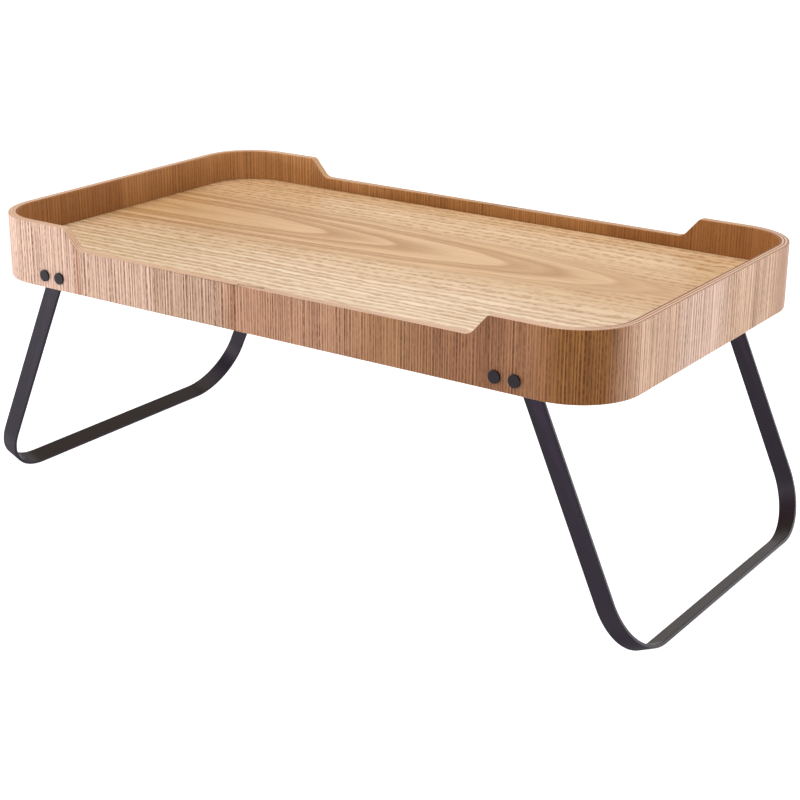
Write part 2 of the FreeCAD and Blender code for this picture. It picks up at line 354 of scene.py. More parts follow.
def drill(piece, holes):
    """Cuts round holes along Y. Each is (x, z, radius, lowest y, highest y)."""
    cutter = bmesh.new()
    for x, z, radius, low, high in holes:
        rows = []
        for y in (low, high):
            turns = [math.tau * step / TURNED_STEPS for step in range(TURNED_STEPS)]
            rows.append([cutter.verts.new((x + radius * math.cos(turn), y, z + radius * math.sin(turn)))
                         for turn in turns])
        strip_between(cutter, rows[0], rows[1], around(TURNED_STEPS))
        cutter.faces.new(rows[0])
        cutter.faces.new(rows[1])
    clean(cutter)
    tool = mesh_object("drill", cutter)
    data = tool.data
    cut = piece.modifiers.new("Holes", "BOOLEAN")
    cut.operation = "DIFFERENCE"
    cut.solver = "EXACT"
    cut.object = tool
    depsgraph = bpy.context.evaluated_depsgraph_get()
    drilled = bpy.data.meshes.new_from_object(piece.evaluated_get(depsgraph))
    plain = piece.data
    piece.modifiers.clear()
    piece.data = drilled
    drilled.name = piece.name
    bpy.data.meshes.remove(plain)
    bpy.data.objects.remove(tool)
    bpy.data.meshes.remove(data)


# ======== Rim ========

BAND_MAP = "Band"             # along the band, up it
SECTION_MAP = "Section"       # in from the outer face, up the band


def rim_section(sizes, lap_depth):
    """The band's section as (depth from the outer face, level, height), and the column of the lap's top.

    Level is bottom, top or fixed. The first column is the lap's bottom, and columns run up the
    outside, over the top and down the inside with its groove.
    """
    edge = quarter_round(sizes.edge_round)
    outside = [(lap_depth, "bottom", 0.0)]
    outside += [(across, "bottom", down) for across, down in edge]
    outside += [(across, "top", down) for across, down in reversed(edge)]
    groove_top = BOARD_HIGH.z - sizes.groove_drop - TRAY_LOW.z
    groove_bottom = groove_top - sizes.groove_height
    groove_floor = sizes.wall - sizes.groove_depth
    inside = [(lap_depth, "top", 0.0)]
    inside += [(sizes.wall - across, "top", down) for across, down in edge]
    inside += [(sizes.wall, "fixed", groove_top), (groove_floor, "fixed", groove_top),
               (groove_floor, "fixed", groove_bottom), (sizes.wall, "fixed", groove_bottom)]
    inside += [(sizes.wall - across, "bottom", down) for across, down in reversed(edge)]
    return outside + inside, len(outside)


def inner_seam(sizes):
    """Where the left half's tongue ends at the front, along X."""
    return sizes.lap - sizes.glue - SEAM_OFFSET


def rim_path(sizes):
    """The left half's outer face, from its inner seam at the front round to its outer seam at the rear."""
    corner = sizes.corner_radius
    return Path([
        (inner_seam(sizes), -HALF_WIDTH, 0), (-HALF_LENGTH, -HALF_WIDTH, corner),
        (-HALF_LENGTH, HALF_WIDTH, corner), (SEAM_OFFSET, HALF_WIDTH, 0),
    ], LARGE_ARC_STEP)


def rim_top_line(sizes, path):
    """The left half's top edge, unrolled along the band, as stations (along, height, normal)."""
    high = TRAY_HIGH.z - TRAY_LOW.z
    low = sizes.side_height
    half_slope = (high - low) / 2 / math.tan(sizes.dip_slope)
    foot = sizes.dip_length / 2 - half_slope
    brow = sizes.dip_length / 2 + half_slope
    front = inner_seam(sizes)     # from the start of the path to the middle of the tray
    rear = path.length - SEAM_OFFSET
    stations = rounded_line([
        (0, low, 0), (foot + front, low, sizes.foot_radius), (brow + front, high, sizes.brow_radius),
        (rear - brow, high, sizes.brow_radius), (rear - foot, low, sizes.foot_radius), (path.length, low, 0),
    ], SLOPE_ARC_STEP)
    level = Vector((0, 1))
    extra = path.marks[1:-1] + [sizes.lap, path.length - sizes.lap]
    for mark in extra:
        is_high = foot + front < mark < rear - foot
        stations.append((Vector((mark, high if is_high else low)), level))
    return sorted(stations, key=lambda station: station[0].x)


def nearest(marks, value):
    """Index of the mark nearest to a value."""
    return min(range(len(marks)), key=lambda index: abs(marks[index] - value))


def rim_half(sizes):
    """Mesh of the left half: its inner layer runs on as a tongue at the front, its outer one at the rear."""
    front_section, lap_top = rim_section(sizes, (sizes.wall + sizes.glue) / 2)
    rear_section, _ = rim_section(sizes, (sizes.wall - sizes.glue) / 2)
    path = rim_path(sizes)
    stations = rim_top_line(sizes, path)
    mesh = bmesh.new()
    places = {}
    rows = []
    for along_top, normal in stations:
        section = front_section if along_top.x < path.length / 2 else rear_section
        face_along = along_top.x - normal.x * sizes.edge_round
        row = []
        for depth, level, height in section:
            along, up = face_along, height
            if level == "top":
                spot = along_top - normal * height
                along, up = spot.x, spot.y
            spot, outward = path.at(along)
            place = spot - outward * depth
            vertex = mesh.verts.new((place.x, place.y, TRAY_LOW.z + up))
            places[vertex] = (along, up, depth)
            row.append(vertex)
        rows.append(row)
    marks = [station[0].x for station in stations]
    outer_start = nearest(marks, sizes.lap)
    inner_end = nearest(marks, path.length - sizes.lap)
    count = len(front_section)
    outside = [(column, column + 1) for column in range(lap_top)]
    inside = [(column, (column + 1) % count) for column in range(lap_top, count)]
    for index in range(len(rows) - 1):
        segments = []
        if index >= outer_start:
            segments += outside
        if index < inner_end:
            segments += inside
        if index < outer_start or index >= inner_end:
            segments.append((0, lap_top))
        strip_between(mesh, rows[index], rows[index + 1], segments)
    inner_columns = [lap_top] + list(range(lap_top + 1, count)) + [0]
    for row, columns in ((rows[0], inner_columns), (rows[outer_start], range(lap_top + 1)),
                         (rows[inner_end], inner_columns), (rows[-1], range(lap_top + 1))):
        mesh.faces.new([row[column] for column in columns])
    write_maps(mesh, places)
    return mesh


def write_maps(mesh, places):
    """Writes the band and section maps from each vertex's (along, up, depth)."""
    band = mesh.loops.layers.uv.new(BAND_MAP)
    section = mesh.loops.layers.uv.new(SECTION_MAP)
    for face in mesh.faces:
        for loop in face.loops:
            along, up, depth = places[loop.vert]
            loop[band].uv = (along, up)
            loop[section].uv = (depth, up)


DRILL_REACH = HALF_WIDTH * 0.1    # how far a drill runs to either side of the rim's outer face


def post_holes(side, radius):
    """The holes through both long sides for the posts of the left or right hinges."""
    holes = []
    for kind in ("pivot_post", "fixing_post"):
        low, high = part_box(f"{kind}_front_{side}")
        middle = (low + high) / 2
        for face in (-HALF_WIDTH, HALF_WIDTH):
            holes.append((middle.x, middle.z, radius, face - DRILL_REACH, face + DRILL_REACH))
    return holes


class TRAYTABLE_OT_rim(bpy.types.Operator):
    """Build both halves of the bent plywood rim"""

    bl_idname = "traytable.rim"
    bl_label = "Rim"

    def execute(self, context):
        sizes = context.scene.traytable_rim
        for side in ("left", "right"):
            mesh = rim_half(sizes)
            if side == "right":
                turned_about_z(mesh)
            material = rim_veneer(side, context.scene.traytable_finishes, sizes.wall)
            add_piece(f"bent_rim_{side}", mesh, material, "tray", [f"rim_{side}"],
                      post_holes(side, sizes.hole_radius))
        return {"FINISHED"}


# ======== Panel ========

def board_mesh(sizes, rim):
    """Mesh of the panel: a board with eased edges and a tongue all round."""
    board_x = BOARD_HIGH.x - sizes.tongue_reach
    board_y = BOARD_HIGH.y - sizes.tongue_reach
    corner = rim.corner_radius - rim.wall
    outline = rounded_line([(-board_x, -board_y, corner), (board_x, -board_y, corner),
                            (board_x, board_y, corner), (-board_x, board_y, corner)],
                           LARGE_ARC_STEP, closed=True)
    edge = quarter_round(sizes.edge_round)
    tongue_top = BOARD_HIGH.z - rim.groove_drop - sizes.tongue_play
    tongue_bottom = BOARD_HIGH.z - rim.groove_drop - rim.groove_height + sizes.tongue_play
    levels = [(-across, BOARD_HIGH.z - down) for across, down in edge]
    levels += [(0.0, tongue_top), (sizes.tongue_reach, tongue_top),
               (sizes.tongue_reach, tongue_bottom), (0.0, tongue_bottom)]
    levels += [(-across, BOARD_LOW.z + down) for across, down in reversed(edge)]
    mesh = bmesh.new()
    rows = []
    for outset, z in levels:
        spots = [spot - inward * outset for spot, inward in outline]
        rows.append([mesh.verts.new((spot.x, spot.y, z)) for spot in spots])
    for upper, lower in zip(rows, rows[1:]):
        strip_between(mesh, upper, lower, around(len(outline)))
    mesh.faces.new(rows[0])
    mesh.faces.new(rows[-1])
    return mesh


class TRAYTABLE_OT_board(bpy.types.Operator):
    """Build the veneered tray panel"""

    bl_idname = "traytable.board"
    bl_label = "Panel"

    def execute(self, context):
        mesh = board_mesh(context.scene.traytable_board, context.scene.traytable_rim)
        material = board_veneer(context.scene.traytable_finishes)
        add_piece("tray_panel", mesh, material, "tray", ["panel"])
        return {"FINISHED"}


# ======== Leg frames ========

def bar_section(sizes):
    """Half of the bar's section as (depth from the outer face, in from the bar's edge)."""
    edge = quarter_round(sizes.edge_round)
    outer = [(down, across) for across, down in edge]
    return outer + [(sizes.bar_thickness - depth, inset) for depth, inset in reversed(outer)]


def leg_bar(sizes):
    """Mesh of the right leg frame: flat bar bent into a U, with half-round ends about its pivots."""
    half_bar = sizes.bar_width / 2
    half_span = LEG_HIGH.y
    lift = sizes.edge_round * (math.sin(SPLAY) + math.cos(SPLAY) - 1)
    reach = (PIVOT.z - half_bar * math.sin(SPLAY) + lift) / math.cos(SPLAY)
    path = Path([(-half_span, 0, 0), (-half_span, -reach, sizes.bend_radius),
                 (half_span, -reach, sizes.bend_radius), (half_span, 0, 0)], LARGE_ARC_STEP)
    section = bar_section(sizes)
    end_steps = round(QUARTER_TURN / SMALL_ARC_STEP) * 2
    swings = [QUARTER_TURN * (1 - step / end_steps) for step in range(end_steps)]
    # A station is where the bar is cut across: (distance along it, swing round the pivot)
    stations = [(0.0, swing) for swing in swings]
    stations += [(mark, 0.0) for mark in path.marks]
    stations += [(path.length, -swing) for swing in reversed(swings)]
    mesh = bmesh.new()
    rows = []
    for along, swing in stations:
        row = []
        for side, points in ((1, section), (-1, reversed(section))):
            for depth, inset in points:
                round_reach = half_bar - inset
                spot, inward = path.at(along - round_reach * math.sin(swing))
                place = spot + inward * depth
                row.append(mesh.verts.new((side * round_reach * math.cos(swing), place.x, place.y)))
        rows.append(row)
    for first, second in zip(rows, rows[1:]):
        strip_between(mesh, first, second, around(len(rows[0])))
    mesh.transform(Matrix.Translation(PIVOT) @ Matrix.Rotation(-SPLAY, 4, "Y"))
    return mesh


class TRAYTABLE_OT_legs(bpy.types.Operator):
    """Build both folding leg frames"""

    bl_idname = "traytable.legs"
    bl_label = "Leg Frames"

    def execute(self, context):
        sizes = context.scene.traytable_legs
        finishes = context.scene.traytable_finishes
        coat = powder_coat(finishes)
        for side, pivot_x in (("left", -PIVOT.x), ("right", PIVOT.x)):
            mesh = leg_bar(sizes)
            if side == "left":
                turned_about_z(mesh)
            hole = (pivot_x, PIVOT.z, context.scene.traytable_rim.hole_radius, -HALF_WIDTH, HALF_WIDTH)
            add_piece(f"leg_bar_{side}", mesh, coat, f"{side}_leg",
                      [f"leg_frame_{side}"], [hole])
        return {"FINISHED"}


# ======== Hinge hardware ========

def hexagon_radius(turn, across_flats):
    """Distance from a hexagon's middle to its side, in a direction."""
    sixth = math.tau / 6
    return across_flats / 2 / math.cos(turn % sixth - sixth / 2)


def turned_mesh(middle, profile, closed, socket):
    """Mesh turned about an axis along Y from (radius, depth) points; depth grows in from the rim's face.

    Socket points, (width across the flats, depth), carry on from the profile as a hexagon.
    """
    facing = math.copysign(1, middle.y)
    mesh = bmesh.new()
    rings = []
    for step in range(TURNED_STEPS):
        turn = math.tau * step / TURNED_STEPS
        points = profile + [(hexagon_radius(turn, across), depth) for across, depth in socket]
        rings.append([mesh.verts.new((middle.x + radius * math.cos(turn), facing * (HALF_WIDTH - depth),
                                      middle.z + radius * math.sin(turn))) for radius, depth in points])
    count = len(rings[0])
    segments = around(count) if closed else [(index, index + 1) for index in range(count - 1)]
    for step in range(TURNED_STEPS):
        strip_between(mesh, rings[step - 1], rings[step], segments)
    bmesh.ops.remove_doubles(mesh, verts=mesh.verts, dist=SAME_PLACE)
    bmesh.ops.dissolve_degenerate(mesh, edges=mesh.edges, dist=SAME_PLACE)
    return mesh


def node_depths(node):
    """Radius of a node on one hinge, and its two depths from the rim's outer face."""
    low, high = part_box(node)
    near_face = max(abs(low.y), abs(high.y))
    far_face = min(abs(low.y), abs(high.y))
    return (high.x - low.x) / 2, HALF_WIDTH - near_face, HALF_WIDTH - far_face


def add_turned(name, node, corners, material, closed=False, socket=()):
    """Adds a piece turned about its node's axis, from (radius, depth, rounding) corners."""
    low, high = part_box(node)
    profile = [tuple(point) for point, _ in rounded_line(corners, SMALL_ARC_STEP, closed)]
    mesh = turned_mesh((low + high) / 2, profile, closed, list(socket))
    add_piece(name, mesh, material, "tray", [node])


class TRAYTABLE_OT_posts(bpy.types.Operator):
    """Build the eight flat-headed posts"""

    bl_idname = "traytable.posts"
    bl_label = "Hinge Posts"

    def execute(self, context):
        sizes = context.scene.traytable_hinges
        black = black_steel(context.scene.traytable_finishes)
        for row, side in CORNERS:
            for kind, bore_depth in (("pivot", sizes.pivot_bore), ("fixing", sizes.fixing_bore)):
                node = f"{kind}_post_{row}_{side}"
                radius, face, end = node_depths(node)
                under_head = face + sizes.head_height
                bore_end = end - bore_depth
                add_turned(f"{kind}_post_head_{row}_{side}", node, [
                    (0, face, 0), (radius, face, sizes.head_round), (radius, under_head, 0),
                    (sizes.barrel_radius, under_head, 0), (sizes.barrel_radius, end, 0),
                    (sizes.bore_radius, end, 0), (sizes.bore_radius, bore_end, 0), (0, bore_end, 0),
                ], black)
        return {"FINISHED"}


class TRAYTABLE_OT_screws(bpy.types.Operator):
    """Build the eight socket screws inside the hinges"""

    bl_idname = "traytable.screws"
    bl_label = "Hinge Screws"

    def execute(self, context):
        sizes = context.scene.traytable_hinges
        black = black_steel(context.scene.traytable_finishes)
        for row, side in CORNERS:
            for kind in ("pivot", "fixing"):
                node = f"{kind}_screw_{row}_{side}"
                radius, tip, top = node_depths(node)
                seat = top - sizes.screw_head
                floor = top - sizes.socket_depth
                add_turned(f"{kind}_socket_screw_{row}_{side}", node, [
                    (0, tip, 0), (sizes.shank_radius, tip, 0), (sizes.shank_radius, seat, 0),
                    (radius, seat, 0), (radius, top, sizes.head_round), (sizes.socket, top, 0),
                ], black, socket=[(sizes.socket, top), (sizes.socket, floor), (0, floor)])
        return {"FINISHED"}


class TRAYTABLE_OT_sleeves(bpy.types.Operator):
    """Build the nylon bushes and washers at the pivots"""

    bl_idname = "traytable.sleeves"
    bl_label = "Bushes and Washers"

    def execute(self, context):
        sizes = context.scene.traytable_hinges
        white = white_nylon(context.scene.traytable_finishes)
        for row, side in CORNERS:
            for kind, bore in (("spacer_bush", sizes.bush_bore), ("friction_washer", sizes.bore_radius)):
                node = f"{kind}_{row}_{side}"
                radius, start, end = node_depths(node)
                add_turned(f"nylon_{kind}_{row}_{side}", node, [
                    (bore, start, 0), (radius, start, sizes.sleeve_round),
                    (radius, end, sizes.sleeve_round), (bore, end, 0),
                ], white, closed=True)
        return {"FINISHED"}


class TRAYTABLE_OT_plates(bpy.types.Operator):
    """Finish the four pressed hinge plates"""

    bl_idname = "traytable.plates"
    bl_label = "Hinge Plates"

    def execute(self, context):
        zinc = zinc_plate(context.scene.traytable_finishes)
        for row, side in CORNERS:
            plate = frame["nodes"][f"hinge_plate_{row}_{side}"]
            plate.data.materials.clear()
            plate.data.materials.append(zinc)
            weld = plate.modifiers.new("Joined edges", "WELD")
            weld.merge_threshold = WELD_REACH
            bevel = plate.modifiers.new("Pressed edges", "BEVEL")
            bevel.width = context.scene.traytable_hinges.plate_round
            bevel.segments = 2
            bevel.limit_method = "ANGLE"
            bevel.angle_limit = PRESSED_EDGE
            bevel.harden_normals = True
        return {"FINISHED"}


# ======== Materials ========

class Value:
    """A node's output. Sums can be written with it as with a plain number."""

    def __init__(self, sheet, socket):
        self.sheet = sheet
        self.socket = socket

    def __add__(self, other):
        return self.sheet.math("ADD", self, other)

    def __sub__(self, other):
        return self.sheet.math("SUBTRACT", self, other)

    def __rsub__(self, other):
        return self.sheet.math("SUBTRACT", other, self)

    def __mul__(self, other):
        return self.sheet.math("MULTIPLY", self, other)

    def __truediv__(self, other):
        return self.sheet.math("DIVIDE", self, other)

    def __abs__(self):
        return self.sheet.math("ABSOLUTE", self)

    def fade(self, start, end, low=0.0, high=1.0):
        """A smooth step from low at start to high at end."""
        return self.sheet.put("ShaderNodeMapRange", {"Value": self, "From Min": start, "From Max": end,
                                                     "To Min": low, "To Max": high},
                              interpolation_type="SMOOTHSTEP")


class NodeSheet:
    """Adds nodes to one tree in a row, and links them. Methods give back values."""

    def __init__(self, tree):
        self.tree = tree

    def put(self, kind, inputs, output=0, **settings):
        """One output of a new node, whose inputs are numbers, vectors or values."""
        node = self.tree.nodes.new(kind)
        node.location = (200 * len(self.tree.nodes), 0)
        for name, value in settings.items():
            setattr(node, name, value)
        for socket, value in inputs.items():
            if isinstance(value, Value):
                self.tree.links.new(value.socket, node.inputs[socket])
            else:
                node.inputs[socket].default_value = value
        return Value(self, node.outputs[output])

    def all_outputs(self, value):
        """Every output of the node that gives a value, by name."""
        return {socket.name: Value(self, socket) for socket in value.socket.node.outputs}

    def math(self, operation, *values, clamp=False):
        """A sum on one or two values."""
        return self.put("ShaderNodeMath", dict(enumerate(values)), operation=operation, use_clamp=clamp)

    def place(self, kind="Object"):
        """A texture coordinate of the piece."""
        return self.put("ShaderNodeTexCoord", {}, kind)

    def vector(self, x, y, z=0.0):
        """A vector from three values."""
        return self.put("ShaderNodeCombineXYZ", {"X": x, "Y": y, "Z": z})

    def split(self, vector):
        """The three values of a vector."""
        return list(self.all_outputs(self.put("ShaderNodeSeparateXYZ", {"Vector": vector})).values())

    def stretched(self, vector, x, y, z=1.0):
        """A vector with each value multiplied."""
        return self.put("ShaderNodeVectorMath", {0: vector, 1: (x, y, z)}, operation="MULTIPLY")

    def noise(self, vector, scale=1.0, detail=2.0, roughness=0.5):
        """Soft noise from 0 to 1."""
        return self.put("ShaderNodeTexNoise", {"Vector": vector, "Scale": scale, "Detail": detail,
                                               "Roughness": roughness})

    def swing(self, vector, along, across, detail):
        """Noise about zero, with its own number of waves a metre along and across."""
        return self.noise(self.stretched(vector, along, across), 1.0, detail) - 0.5

    def cells(self, vector):
        """Distance to the nearest of scattered points."""
        return self.put("ShaderNodeTexVoronoi", {"Vector": vector, "Scale": 1.0}, "Distance")

    def ramp(self, value, stops, interpolation="LINEAR"):
        """A colour ramp through (place, colour) stops."""
        found = self.put("ShaderNodeValToRGB", {"Fac": value})
        bar = found.socket.node.color_ramp
        bar.interpolation = interpolation
        while len(bar.elements) < len(stops):
            bar.elements.new(1.0)
        for element, (place, tone) in zip(bar.elements, stops):
            element.position = place
            element.color = (*tone, 1.0)
        return found

    def blend(self, share_of_second, first, second, mode="MIX"):
        """Two colours mixed."""
        tones = {socket: tone if isinstance(tone, Value) else (*tone, 1.0)
                 for socket, tone in ((6, first), (7, second))}
        return self.put("ShaderNodeMix", {0: share_of_second, **tones}, 2, data_type="RGBA", blend_type=mode)

    def stain(self, tone, amount, tint):
        """A colour multiplied by a tint where the amount is 1."""
        return self.blend(amount, tone, tint, "MULTIPLY")

    def bump(self, height, distance, strength=0.5):
        """A normal from a height."""
        return self.put("ShaderNodeBump", {"Height": height, "Distance": distance, "Strength": strength})

    def group(self, tree, inputs):
        """The outputs of a shared node group, by name."""
        return self.all_outputs(self.put("ShaderNodeGroup", inputs, node_tree=tree))


def shared_group(name, inputs, outputs, fill):
    """A shader node group with named sockets, filled when it is first asked for."""
    tree = bpy.data.node_groups.get(name)
    if tree:
        return tree
    tree = bpy.data.node_groups.new(name, "ShaderNodeTree")
    for label, kind in inputs.items():
        tree.interface.new_socket(label, in_out="INPUT", socket_type=kind)
    for label in outputs:
        tree.interface.new_socket(label, in_out="OUTPUT", socket_type="NodeSocketFloat")
    sheet = NodeSheet(tree)
    entry = tree.nodes.new("NodeGroupInput").outputs
    leave = tree.nodes.new("NodeGroupOutput").inputs
    found = fill(sheet, *(Value(sheet, entry[label]) for label in inputs))
    for label, value in zip(outputs, found):
        tree.links.new(value.socket, leave[label])
    return tree


def open_grain(sheet, grain, rings, pore_length, streak_width):
    """Figure of a ring-porous wood. X of grain runs along the fibres, and rings counts growth rings.

    Each ring has its own darkness, is darkest just before it ends, and ends sharply. The pores are
    short dashes along the fibres.
    """
    along, across, layer = sheet.split(grain)

    def figure(length_along, width_across):
        return sheet.vector(along / length_along, across / width_across, layer)

    part = sheet.math("FRACT", rings)
    ring = sheet.math("FLOOR", rings)
    own = sheet.put("ShaderNodeTexWhiteNoise", {"W": ring}, "Value", noise_dimensions="1D")
    late_wood = part.fade(0.20, 0.58) * part.fade(0.85, 1.0, 1.0, 0.0) * (own * 0.50 + 0.50)
    pores = sheet.cells(figure(pore_length, streak_width)).fade(0.75, 0.30)
    streaks = sheet.noise(figure(120 * MM, streak_width), 1.0, 3.0, 0.7).fade(0.39, 0.61)
    cloud = sheet.noise(figure(70 * MM, 22 * MM), 1.0, 3.0).fade(0.25, 0.75)
    return late_wood, pores, streaks, cloud


def wood_figure(sheet, grain, rings, pore_length, streak_width):
    """The shared open grain, with its own lengths in millimetres."""
    kinds = {"Grain": "NodeSocketVector", "Rings": "NodeSocketFloat", "Pore Length": "NodeSocketFloat",
             "Streak Width": "NodeSocketFloat"}
    tree = shared_group("Open grain", kinds, ["Late Wood", "Pores", "Streaks", "Cloud"], open_grain)
    return sheet.group(tree, {"Grain": grain, "Rings": rings, "Pore Length": pore_length * MM,
                              "Streak Width": streak_width * MM})


def rubbed_and_highlit_edges(sheet, amount):
    """A mask of the edges made a little lighter: partly wear that hands and handling have rubbed, partly a
    painted highlight along them.
    """
    geometry = sheet.all_outputs(sheet.put("ShaderNodeNewGeometry", {}))
    patches = sheet.noise(geometry["Position"], 60.0, 3.0).fade(0.35, 0.65, 0.3, 1.0)
    return [geometry["Pointiness"].fade(0.52, 0.60) * patches * amount]


def handling(sheet, roughness, drift):
    """The slow drift of gloss over a surface that is wiped and held."""
    swing = sheet.noise(sheet.place(), 14.0, 4.0) - 0.5
    return [sheet.math("ADD", roughness, swing * drift, clamp=True)]


def handled_gloss(sheet, roughness, drift):
    """Roughness that drifts as on a handled surface."""
    kinds = {"Roughness": "NodeSocketFloat", "Drift": "NodeSocketFloat"}
    tree = shared_group("Handling", kinds, ["Roughness"], handling)
    return sheet.group(tree, {"Roughness": roughness, "Drift": drift})["Roughness"]


def new_material(name):
    """A material with only its Principled shader, and a sheet for its nodes."""
    material = bpy.data.materials.new(name)
    material.use_nodes = True
    shader = next(node for node in material.node_tree.nodes if node.type == "BSDF_PRINCIPLED")
    return material, NodeSheet(material.node_tree), shader


def dress(sheet, shader, **sockets):
    """Sets or links the shader's sockets; underscores in the names stand for spaces."""
    for name, value in sockets.items():
        socket = shader.inputs[name.replace("_", " ")]
        if isinstance(value, Value):
            sheet.tree.links.new(value.socket, socket)
        else:
            socket.default_value = value


# Veneer leaves of each half's outer face, in millimetres along the band from its inner seam at the
# start of the half: (where a leaf starts, where it ends, finish). Between leaves the tone runs over.
# Besides the leaves' own colours these tones carry painted light: the pale rose and sand leaves on the
# front's left part and on the right end paint the side lights' sheen, and the dark amber and brown leaves
# round the front-right corner paint its shade.
LEAVES_AND_PAINTED_LIGHT = {
    "left": [(0, 30, "tan"), (46, 106, "grey"), (106.5, 188, "pink"), (188.5, 192, "red"),
             (192.5, 298, "rose"), (330, 400, "rose"), (400.5, 487, "sand"), (487.5, 560, "rose"),
             (600, 647, "tan"), (647.5, 651, "red"), (651.5, 738, "tan"), (738.5, 830, "grey"),
             (830.5, 925, "tan")],
    "right": [(0, 92, "tan"), (92.5, 180, "grey"), (180.5, 262, "tan"), (290, 330, "tan"),
              (360, 377, "sand"), (380, 383, "tan"), (386, 430, "sand"), (450, 500, "rose"),
              (525, 574, "sand"), (592, 594, "tan"), (607, 638, "amber"), (662, 735, "brown"),
              (770, 800, "nut"), (840, 925, "tan")],
}
# The inner leaves' tones are partly the veneer's own colours and partly painted shade: they are darker and
# more saturated than the outer leaves for the shade inside the tray's well, and were made darker on some
# walls and paler on others for each wall's own shade.
INNER_LEAVES_AND_PAINTED_SHADE = {
    "left": [(0, 118, "honey"), (118.5, 214, "toffee"), (214.5, 330, "toffee"), (330.5, 442, "toffee"),
             (442.5, 540, "honey"), (570, 660, "maple"), (660.5, 760, "maple"), (800, 925, "honey")],
    "right": [(0, 118, "honey"), (118.5, 214, "toffee"), (214.5, 330, "toffee"), (330.5, 442, "honey"),
              (442.5, 545, "toffee"), (545.5, 660, "honey"), (660.5, 760, "toffee"), (760.5, 925, "honey")],
}
# Plies of the cut edges, from the outer face in: (where a ply starts in millimetres, finish)
SIDE_PLIES = [(0.0, "ply"), (2.0, "cross_ply"), (2.7, "ply"), (4.5, "cross_ply"), (5.2, "ply"),
              (7.0, "cross_ply")]
END_PLIES = {
    "left": [(0.0, "cross_ply"), (1.5, "ply"), (3.6, "cross_ply"), (4.4, "ply"), (6.3, "core")],
    "right": [(0.0, "ply"), (0.8, "glue"), (1.6, "ply"), (3.5, "core"), (4.4, "ply"), (5.9, "core")],
}
# More of the rim's finish. Sizes and places along the band are in millimetres.
FACE_VENEER = 0.45
SEAM = 24.6                   # the glued seam at the start of each half's outer layer
END_FACE = (331, 573)         # the straight end of each half
LINE_SPACING = {"left": 3.2, "right": 2.6}
END_LINE_SPACING = 4.0
END_CUT = ((240, 290), (650, 590))            # where the end's plies fade in, and where they fade out
REAR_CUT = {"left": (640, 720), "right": (280, 240)}    # where the browner rear cut edge fades in
LINE_SWAY = 3.5               # how many growth lines they wander by
LINE_STRENGTH = {"left": (0.75, 0.95), "right": (0.65, 0.85)}    # faintest and strongest, outside
INNER_STRENGTH = 0.45
NOISE_LAYER = {"left": 7.3, "right": 3.1}     # keeps the inner face's figure unlike the outer face's
RIM_TINTS = {
    "cloud": (0.80, 0.78, 0.76), "streak": (0.46, 0.38, 0.32), "line": (0.18, 0.10, 0.06),
    "rear cut": (0.84, 0.76, 0.64), "cut streak": (0.62, 0.55, 0.50),
}


def leaf_tones(sheet, leaves, finishes, along):
    """Colour at each place along the band from a list of leaves, whose tones carry painted light and shade
    besides the veneers' own colours.
    """
    stops = []
    for start, end, finish in leaves:
        tone = getattr(finishes, finish)
        stops += [(start * MM, tone), (end * MM, tone)]
    return sheet.ramp(along, stops)


def ply_tones(sheet, plies, finishes, depth, wall):
    """Colour of the ply at each depth from the outer face."""
    layers = [(start * MM / wall, getattr(finishes, finish)) for start, finish in plies]
    return sheet.ramp(depth / wall, layers, "CONSTANT")


def line_count(sheet, side, along, up, layer):
    """How many growth lines lie before a place. They wander a little on their way up."""
    spacing = LINE_SPACING[side] * MM
    start, end = (mark * MM for mark in END_FACE)
    sway = sheet.noise(sheet.vector(up * 1.3, along * 45.0, layer))
    on_end = sheet.math("MINIMUM", sheet.math("MAXIMUM", along - start, 0.0), end - start)
    fewer = 1 / spacing - 1 / (END_LINE_SPACING * MM)
    return along / spacing - on_end * fewer + sway * LINE_SWAY


def cut_edge(sheet, side, finishes, along, depth, wall):
    """Colour of the plies on the cut edges: other ones round the end, and browner along the rear."""
    at = along / MM
    fade_in, fade_out = END_CUT
    side_plies, end_plies = (ply_tones(sheet, plies, finishes, depth, wall)
                             for plies in (SIDE_PLIES, END_PLIES[side]))
    cut = sheet.blend(at.fade(*fade_in) * at.fade(*fade_out), side_plies, end_plies)
    cut = sheet.stain(cut, at.fade(*REAR_CUT[side]), RIM_TINTS["rear cut"])
    streaks = sheet.noise(sheet.vector(along * 160.0, depth * 2600.0), 1.0, 3.0)
    return sheet.stain(cut, streaks.fade(0.4, 0.7, 0.0, 0.35), RIM_TINTS["cut streak"])


